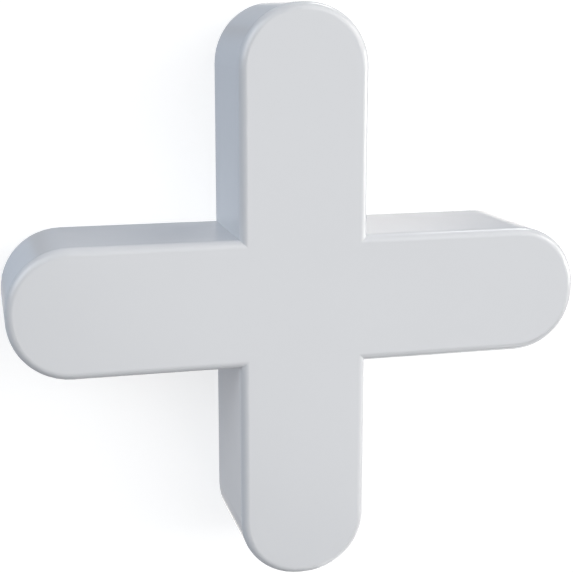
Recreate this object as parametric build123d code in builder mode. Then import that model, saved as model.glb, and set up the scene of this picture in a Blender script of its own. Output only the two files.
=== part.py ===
"""Cross tile spacer: one plain moulded plus shape that holds four tile corners apart.

Millimetres, lying on its back face, with its arms along X and Y and its thickness up +Z.
The origin is at the middle of the back face.
"""

from build123d import *
import os

os.makedirs("parts", exist_ok=True)

# Driving dimensions
arm_width = 5.0  # the width of every arm, and so of the grout joint that it holds open
arm_span = 22.5  # from tip to tip, the same along both bars
thickness = 5.0  # from the back face to the front face
tip_flat = 0.2  # the narrow flat left in the middle of each rounded tip
rim_radius = 0.3  # the small rounding all round the front and back faces

# Each tip is two corner radii that leave the narrow flat between them
tip_radius = (arm_width - tip_flat) / 2


# Cross spacer
with BuildPart() as cross_spacer:
    # Two round-ended bars cross at the origin, with sharp corners where the tiles' corners sit
    with BuildSketch(Plane.XY) as outline:
        RectangleRounded(arm_span, arm_width, tip_radius)
        RectangleRounded(arm_width, arm_span, tip_radius)
    extrude(amount=thickness)
    # The rounding runs round both faces and is mitred in the four inner corners
    rims = cross_spacer.faces().filter_by(Axis.Z).edges()
    fillet(rims, radius=rim_radius)

cross_spacer.part.label = "cross_spacer"
export_step(cross_spacer.part, "parts/cross_spacer.step")
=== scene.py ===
"""Looks of the cross tile spacer: satin white moulded plastic, lying on a pale studio floor."""

import math

import bpy
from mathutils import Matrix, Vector

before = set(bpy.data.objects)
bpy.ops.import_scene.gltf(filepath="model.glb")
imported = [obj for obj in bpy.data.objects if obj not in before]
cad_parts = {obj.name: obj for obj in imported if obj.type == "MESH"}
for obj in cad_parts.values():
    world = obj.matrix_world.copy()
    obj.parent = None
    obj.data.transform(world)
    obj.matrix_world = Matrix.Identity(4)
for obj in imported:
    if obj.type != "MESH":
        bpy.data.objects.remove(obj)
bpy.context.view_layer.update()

MM = 0.001
scene = bpy.context.scene
scene.view_settings.view_transform = "Standard"


# Camera, looking down on the spacer from over its upper left, with the +Y arm up the picture
CAMERA_PLACE = Vector((-11.999, 10.947, 49.321)) * MM
CAMERA_TIP = math.radians(-12.770)  # turned about X from straight down
CAMERA_SWING = math.radians(-13.954)  # turned about Y from straight down
SENSOR = 36.0
LENS = 77.378
SHIFT = (0.0115, 0.0040)  # the photograph is cropped a little off its lens axis
NEAR_CLIP = 1 * MM


def make_camera():
    data = bpy.data.cameras.new("camera")
    data.sensor_width = SENSOR
    data.lens = LENS
    data.shift_x, data.shift_y = SHIFT
    data.clip_start = NEAR_CLIP
    camera = bpy.data.objects.new("camera", data)
    camera.location = CAMERA_PLACE
    camera.rotation_euler = (CAMERA_TIP, CAMERA_SWING, 0.0)
    scene.collection.objects.link(camera)
    scene.camera = camera


# Studio: soft lights far away, in four tints
WHITE = (1.00, 0.99, 0.97)
WARM = (1.00, 0.94, 0.86)
COOL = (0.93, 0.97, 1.00)
BLUE = (0.50, 0.72, 1.00)
SPOT = 18  # degrees across, small enough to draw the rims
WASH = 50  # degrees across, for even tone
# Each light: degrees round from +X towards +Y, degrees above the floor, width, strength and tint
LIGHTS = (
    # The key, from the right: spots that draw the rims, with a wash behind them
    (0, 10, SPOT, 0.18, WHITE),
    (0, 25, SPOT, 0.10, WHITE),
    (0, 25, WASH, 0.17, WHITE),
    (20, 10, SPOT, 0.06, WHITE),
    (30, 25, SPOT, 0.08, WARM),
    (60, 25, SPOT, 0.02, WARM),
    (-60, 25, SPOT, 0.06, WHITE),
    # From above, which gives the front face its tone
    (0, 65, WASH, 0.17, WHITE),
    (45, 45, WASH, 0.15, WHITE),
    (135, 45, WASH, 0.18, COOL),
    # The fill, from the far left, cool like the walls in shade
    (150, 25, WASH, 0.21, COOL),
    (150, -5, WASH, 0.08, BLUE),
    # From below, through the light table, for the glossy walls to mirror
    (60, -20, SPOT, 0.14, WHITE),
    (-60, -20, SPOT, 0.06, WHITE),
    (-45, -30, WASH, 0.09, WHITE),
    (-20, -58, SPOT, 0.05, WHITE),
    (-70, -58, SPOT, 0.04, WARM),
    (225, -58, SPOT, 0.015, WARM),
    (0, -72, SPOT, 0.04, WARM),
    (270, -72, SPOT, 0.008, WARM),
    (60, -58, WASH, 0.02, BLUE),
    (180, -58, WASH, 0.04, BLUE),
)
AMBIENT = (0.070, 0.075, 0.090)  # an even light from all round
BACKDROP = (1.0, 1.0, 1.0)
FLOOR_SIZE = 2.0
FLOOR_COLOUR = (0.5, 0.5, 0.5)
FLOOR_TINT = (1.0, 1.0, 1.0)
FLOOR_GLOW = 0.72  # lifts the pale floor to white, and leaves a faint shadow
TABLE_GLOW = (0.37, 0.37, 0.38)  # as the plastic's gloss mirrors it


def make_light(round_angle, height_angle, width, strength, colour):
    name = f"light_{round_angle}_{height_angle}_{width}"
    data = bpy.data.lights.new(name, "SUN")
    data.energy = strength * math.pi
    data.color = colour
    data.angle = math.radians(width)
    light = bpy.data.objects.new(name, data)
    turn, height = math.radians(round_angle), math.radians(height_angle)
    level = math.cos(height)
    towards = Vector((level * math.cos(turn), level * math.sin(turn), math.sin(height)))
    light.rotation_mode = "QUATERNION"
    light.rotation_quaternion = towards.to_track_quat("Z", "Y")
    scene.collection.objects.link(light)


def make_world():
    """White behind the floor's far edge, and an even soft light from all round for the spacer."""
    world = bpy.data.worlds.new("studio")
    world.use_nodes = True
    nodes, links = world.node_tree.nodes, world.node_tree.links
    ambient = nodes["Background"]
    ambient.inputs["Color"].default_value = (*AMBIENT, 1.0)
    backdrop = nodes.new("ShaderNodeBackground")
    backdrop.inputs["Color"].default_value = (*BACKDROP, 1.0)
    path = nodes.new("ShaderNodeLightPath")
    mix = nodes.new("ShaderNodeMixShader")
    links.new(path.outputs["Is Camera Ray"], mix.inputs["Fac"])
    links.new(ambient.outputs["Background"], mix.inputs[1])
    links.new(backdrop.outputs["Background"], mix.inputs[2])
    links.new(mix.outputs["Shader"], nodes["World Output"].inputs["Surface"])
    scene.world = world


def make_floor():
    """A light table: a pale floor for the camera, and an even glow that lets the light below through."""
    bpy.ops.mesh.primitive_plane_add(size=FLOOR_SIZE, location=(0, 0, 0))
    floor = bpy.context.object
    floor.name = "floor"
    floor.visible_diffuse = False
    floor.visible_shadow = False
    material = bpy.data.materials.new("floor")
    material.use_nodes = True
    nodes, links = material.node_tree.nodes, material.node_tree.links
    shader = nodes["Principled BSDF"]
    shader.inputs["Base Color"].default_value = (*FLOOR_COLOUR, 1.0)
    shader.inputs["Roughness"].default_value = 1.0
    shader.inputs["Specular IOR Level"].default_value = 0.0
    shader.inputs["Emission Color"].default_value = (*FLOOR_TINT, 1.0)
    shader.inputs["Emission Strength"].default_value = FLOOR_GLOW
    glow = nodes.new("ShaderNodeEmission")
    glow.inputs["Color"].default_value = (*TABLE_GLOW, 1.0)
    table = nodes.new("ShaderNodeAddShader")
    links.new(glow.outputs["Emission"], table.inputs[0])
    links.new(nodes.new("ShaderNodeBsdfTransparent").outputs["BSDF"], table.inputs[1])
    mix = nodes.new("ShaderNodeMixShader")
    links.new(nodes.new("ShaderNodeLightPath").outputs["Is Camera Ray"], mix.inputs["Fac"])
    links.new(table.outputs["Shader"], mix.inputs[1])
    links.new(shader.outputs["BSDF"], mix.inputs[2])
    links.new(mix.outputs["Shader"], nodes["Material Output"].inputs["Surface"])
    floor.data.materials.append(material)


# Plastic: plain white, with the faint unevenness of a moulding, all at its real size
PALE = (0.854, 0.864, 0.884)
DEEP = (0.846, 0.856, 0.876)
CLOUD_SIZE = 4.0 * MM  # the pigment's faint clouds
CLOUD_DETAIL = 2.0
ROUGHNESS = (0.19, 0.21)
GLOSS_SIZE = 1.5 * MM  # patches a little more and a little less glossy
GLOSS_DETAIL = 3.0
SWELL_SIZE = 3.5 * MM  # the slow swells that shrinking leaves in the faces
SWELL_DETAIL = 0.0
SWELL_DEPTH = 0.0015 * MM
GRAIN_SIZE = 0.08 * MM  # the satin grain of the mould
GRAIN_DETAIL = 1.0
GRAIN_DEPTH = 0.00007 * MM
NOISE_RANGE = (0.3, 0.7)  # where nearly all of a noise texture's values lie
SPECULAR = 1.0  # the walls mirror more than plain plastic's 0.5 gives


def make_plastic():
    material = bpy.data.materials.new("white_plastic")
    material.use_nodes = True
    nodes, links = material.node_tree.nodes, material.node_tree.links
    shader = nodes["Principled BSDF"]
    place = nodes.new("ShaderNodeTexCoord").outputs["Object"]

    def noise(size, detail):
        texture = nodes.new("ShaderNodeTexNoise")
        texture.inputs["Scale"].default_value = 1 / size
        texture.inputs["Detail"].default_value = detail
        links.new(place, texture.inputs["Vector"])
        return texture.outputs["Fac"]

    def bump(height, depth, below=None):
        node = nodes.new("ShaderNodeBump")
        node.inputs["Distance"].default_value = depth
        links.new(height, node.inputs["Height"])
        if below:
            links.new(below, node.inputs["Normal"])
        return node.outputs["Normal"]

    clouds = nodes.new("ShaderNodeValToRGB")
    for end, position, colour in zip(clouds.color_ramp.elements, NOISE_RANGE, (DEEP, PALE)):
        end.position = position
        end.color = (*colour, 1.0)
    links.new(noise(CLOUD_SIZE, CLOUD_DETAIL), clouds.inputs["Fac"])
    links.new(clouds.outputs["Color"], shader.inputs["Base Color"])

    gloss = nodes.new("ShaderNodeMapRange")
    gloss.inputs["From Min"].default_value, gloss.inputs["From Max"].default_value = NOISE_RANGE
    gloss.inputs["To Min"].default_value, gloss.inputs["To Max"].default_value = ROUGHNESS
    links.new(noise(GLOSS_SIZE, GLOSS_DETAIL), gloss.inputs["Value"])
    links.new(gloss.outputs["Result"], shader.inputs["Roughness"])

    swells = bump(noise(SWELL_SIZE, SWELL_DETAIL), SWELL_DEPTH)
    grain = bump(noise(GRAIN_SIZE, GRAIN_DETAIL), GRAIN_DEPTH, swells)
    links.new(grain, shader.inputs["Normal"])
    shader.inputs["Specular IOR Level"].default_value = SPECULAR
    return material


make_camera()
make_world()
make_floor()
for light in LIGHTS:
    make_light(*light)

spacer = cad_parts["cross_spacer"]
spacer.material_slots[0].material = make_plastic()
